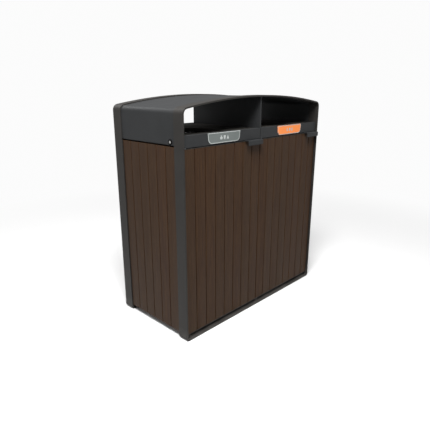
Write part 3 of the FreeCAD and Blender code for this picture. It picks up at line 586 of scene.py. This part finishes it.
def buildScrews():
    s = screwSizes
    woodScrew = (s["head"], s["shank"], s["headTall"])
    handleScrew = (s["handleHead"], s["handleShank"], s["handleHeadTall"])
    for node, sizes in (("left_door_screws", woodScrew), ("right_door_screws", woodScrew),
                        ("panel_screws", woodScrew), ("left_handle_screws", handleScrew),
                        ("right_handle_screws", handleScrew)):
        grids = []
        for low, high in solidBoxes(node):
            axis = int(np.argmax(high - low))
            # heads lie inside: away from the outer faces, and under the handle for its own screws
            headSide = -1 if sizes is handleScrew else -np.sign((low + high)[axis])
            grids.append(screwGrid(low, high, axis, headSide, *sizes))
        place(outwards(gridPiece(node + "_turned", grids)), node, steel)


buildScrews()
print("screws ready")


# Printed film on the labels: a pale border and three pictograms on each

labelSizes = {
    "bottomInset": 5 * mm, "cornerRound": 24 * mm, "film": 0.25 * mm, "edge": 0.8 * mm, "border": 3.0 * mm,
    "iconHeight": 18 * mm, "iconStep": 23 * mm}
iconShapes = {   # heights and half widths, as shares of the icon's height
    "sack": ((0, 0.08, 0.3, 0.5, 0.68, 0.76, 0.84, 1), (0.3, 0.42, 0.5, 0.48, 0.3, 0.1, 0.2, 0.3)),
    "cup": ((0, 0.74, 0.75, 0.86, 0.87, 1), (0.25, 0.38, 0.46, 0.46, 0.36, 0.33)),
    "crust": ((0, 0.1, 0.9, 1), (0.5, 0.42, 0.06, 0.02)),
    "bottle": ((0, 0.05, 0.55, 0.75, 0.88, 0.89, 1), (0.2, 0.26, 0.26, 0.1, 0.1, 0.15, 0.15)),
    "can": ((0, 0.06, 0.9, 1), (0.24, 0.31, 0.31, 0.24)),
    "carton": ((0, 0.66, 0.84, 0.85, 1), (0.32, 0.32, 0.12, 0.2, 0.2))}
labelIcons = {"left_label": ("sack", "cup", "crust"), "right_label": ("bottle", "can", "carton")}


def labelOutline(node, inset):
    # The label's outline moved inwards, as (x, z): straight top, sides that lean in a little, and two lower
    # corners that are arcs about the point at one radius from both the side and the bottom.
    s = labelSizes
    low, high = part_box(node)
    middle, half, tall = (low.x + high.x) / 2, (high.x - low.x) / 2, high.z - low.z
    lean = s["bottomInset"] / tall
    slant = math.hypot(1, lean)
    radius = s["cornerRound"] - inset
    z = low.z + s["cornerRound"]
    x = half - (high.z - z) * lean - s["cornerRound"] * slant
    turn = np.linspace(-math.pi / 2, -math.atan(lean), 10)
    corner = np.stack([x + radius * np.cos(turn), z + radius * np.sin(turn)], -1)
    upper = np.array([[half - inset * lean - inset * slant, high.z - inset]])
    right = np.concatenate([corner, upper])
    return np.concatenate([right, right[::-1] * (-1, 1)]) + (middle, 0)


def buildLabelPrints():
    # The border is a flat rectangle section carried round the label's outline, and a pictogram is one
    # carried upwards, as wide as its shape is at each height.
    s = labelSizes
    for node, icons in labelIcons.items():
        low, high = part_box(node)
        back, front = low.y, low.y - s["film"]
        outer, inner = labelOutline(node, s["edge"]), labelOutline(node, s["edge"] + s["border"])
        corners = ((outer, back), (outer, front), (inner, front), (inner, back))
        ring = np.stack([np.insert(line, 1, y, axis=1) for line, y in corners], 1)
        border = gridPiece(node + "_border", [ring], closeAlong=True)
        place(outwards(border), node, palePrint, hideNode=False)
        grids = []
        for i, icon in enumerate(icons):
            levels, shares = (np.array(row) for row in iconShapes[icon])
            x = (low.x + high.x) / 2 + (i - 1) * s["iconStep"]
            z = (low.z + high.z) / 2 + (levels - 0.5) * s["iconHeight"]
            half = shares * s["iconHeight"]
            edges = [np.stack([x + side * half, np.full(z.shape, y), z], -1)
                     for side, y in ((-1, back), (-1, front), (1, front), (1, back))]
            grids.append(np.stack(edges, 1))
        place(outwards(gridPiece(node + "_pictograms", grids)), node, palePrint, hideNode=False)


buildLabelPrints()
print("label prints ready")


# Stage, light and camera

stageSettings = {
    "white": (0.97, 0.97, 0.97, 1), "floorDark": (0.80, 0.80, 0.80, 1), "floorLight": (0.82, 0.82, 0.82, 1),
    "floorReach": 59.0, "domeReach": 60.0,
    "fadeFrom": 0.9, "fadeTo": 3.2}   # the lit floor turns into plain white between these distances


def buildBackdrop():
    # A pale dome far outside, reach times the cosine and sine of rise and turn, seen only directly, so that
    # it gives no light of its own.
    rise = np.linspace(-0.1, math.pi / 2, 24)[:, None]
    turn = np.linspace(0, 2 * math.pi, 65)[None, :-1]
    ball = [np.cos(rise) * np.cos(turn), np.cos(rise) * np.sin(turn), np.sin(rise) + 0 * turn]
    dome = gridPiece("backdrop", [stageSettings["domeReach"] * np.stack(ball, -1)])
    bpy.context.scene.collection.objects.link(dome)
    m = startMaterial("paleBackdrop")
    glow = addNode(m, "ShaderNodeEmission", {"Color": stageSettings["white"], "Strength": 1.0})
    addNode(m, "ShaderNodeOutputMaterial", None, {"Surface": glow.outputs[0]})
    dome.data.materials.append(m)
    dome.visible_diffuse = False
    dome.visible_glossy = False
    dome.visible_transmission = False
    dome.visible_volume_scatter = False
    dome.visible_shadow = False


def buildStage():
    # A flat disc of smooth pale concrete.
    s = stageSettings
    mesh = bpy.data.meshes.new("floor")
    turn = np.linspace(0, 2 * math.pi, 97)[:-1]
    rim = s["floorReach"] * np.stack([np.cos(turn), np.sin(turn), 0 * turn], -1)
    mesh.from_pydata(rim.tolist(), [], [list(range(len(turn)))])
    floor = bpy.data.objects.new("floor", mesh)
    bpy.context.scene.collection.objects.link(floor)
    m = startMaterial("paleFloor")
    where = addNode(m, "ShaderNodeTexCoord").outputs["Object"]
    cloud = addNode(m, "ShaderNodeTexNoise", {"Scale": 3.0, "Detail": 3.0}, {"Vector": where}).outputs["Fac"]
    colour = addNode(m, "ShaderNodeMix", {"data_type": "RGBA", 6: s["floorDark"], 7: s["floorLight"]},
                     {0: cloud}).outputs[2]
    rough = addNode(m, "ShaderNodeMapRange", {"To Min": 0.85, "To Max": 0.95},
                    {"Value": cloud}).outputs["Result"]
    bump = addNode(m, "ShaderNodeBump", {"Strength": 0.1, "Distance": 0.1 * mm}, {"Height": cloud})
    near = addNode(m, "ShaderNodeBsdfPrincipled", {"Specular IOR Level": 0.1},
                   {"Base Color": colour, "Roughness": rough, "Normal": bump.outputs["Normal"]})
    far = addNode(m, "ShaderNodeEmission", {"Color": s["white"], "Strength": 1.0})
    away = addNode(m, "ShaderNodeVectorMath", {"operation": "LENGTH"}, {0: where}).outputs["Value"]
    fade = addNode(m, "ShaderNodeMapRange",
                   {"interpolation_type": "SMOOTHSTEP", "From Min": s["fadeFrom"], "From Max": s["fadeTo"]},
                   {"Value": away}).outputs["Result"]
    both = addNode(m, "ShaderNodeMixShader", None, {0: fade, 1: near.outputs["BSDF"], 2: far.outputs[0]})
    addNode(m, "ShaderNodeOutputMaterial", None, {"Surface": both.outputs[0]})
    mesh.materials.append(m)
    floor.visible_diffuse = False


skySettings = {"above": 0.46, "below": 0.26}
lampSettings = {
    "overhead": {"size": 2.4, "power": 8, "at": (-0.2, -0.3, 3.8)},
    "key": {"size": 1.4, "power": 203, "at": (-1.5, -1.35, 3.5)},
    "rear": {"size": 1.6, "power": 45, "at": (-0.9, 3.0, 3.3)}}
lampTarget = (0.0, 0.0, 0.6)


def buildLights():
    world = bpy.data.worlds.new("studio")
    bpy.context.scene.world = world
    world.use_nodes = True
    # an even pale sky, weaker from below, where it stands for the light that the floor throws back
    where = addNode(world, "ShaderNodeTexCoord").outputs["Generated"]
    rise = addNode(world, "ShaderNodeSeparateXYZ", None, {0: where}).outputs["Z"]
    strength = addNode(world, "ShaderNodeMapRange",
                       {"From Min": -0.1, "From Max": 0.1, "To Min": skySettings["below"],
                        "To Max": skySettings["above"]}, {"Value": rise}).outputs["Result"]
    sky = world.node_tree.nodes["Background"]
    world.node_tree.links.new(strength, sky.inputs["Strength"])
    sky.inputs["Color"].default_value = (1, 1, 1, 1)
    for name, s in lampSettings.items():
        lamp = bpy.data.lights.new(name, "AREA")
        lamp.size = s["size"]
        lamp.energy = s["power"]
        thing = bpy.data.objects.new(name, lamp)
        bpy.context.scene.collection.objects.link(thing)
        thing.location = s["at"]
        x, y, z = np.array(lampTarget) - np.array(s["at"])
        thing.rotation_euler = (math.atan2(math.hypot(x, y), -z), 0, -math.atan2(x, y))


cameraSettings = {
    "lens": 35.0, "sensor": 36.0, "at": (-1.7765, -1.6528, 1.2378), "lookDown": 0.2965, "turn": -0.799}


def buildCamera():
    s = cameraSettings
    lens = bpy.data.cameras.new("camera")
    lens.lens = s["lens"]
    lens.sensor_width = s["sensor"]
    camera = bpy.data.objects.new("camera", lens)
    bpy.context.scene.collection.objects.link(camera)
    camera.location = s["at"]
    camera.rotation_euler = (math.pi / 2 - s["lookDown"], 0, s["turn"])
    bpy.context.scene.camera = camera
    bpy.context.scene.view_settings.view_transform = "Standard"


buildStage()
buildBackdrop()
buildLights()
buildCamera()
print("scene ready")
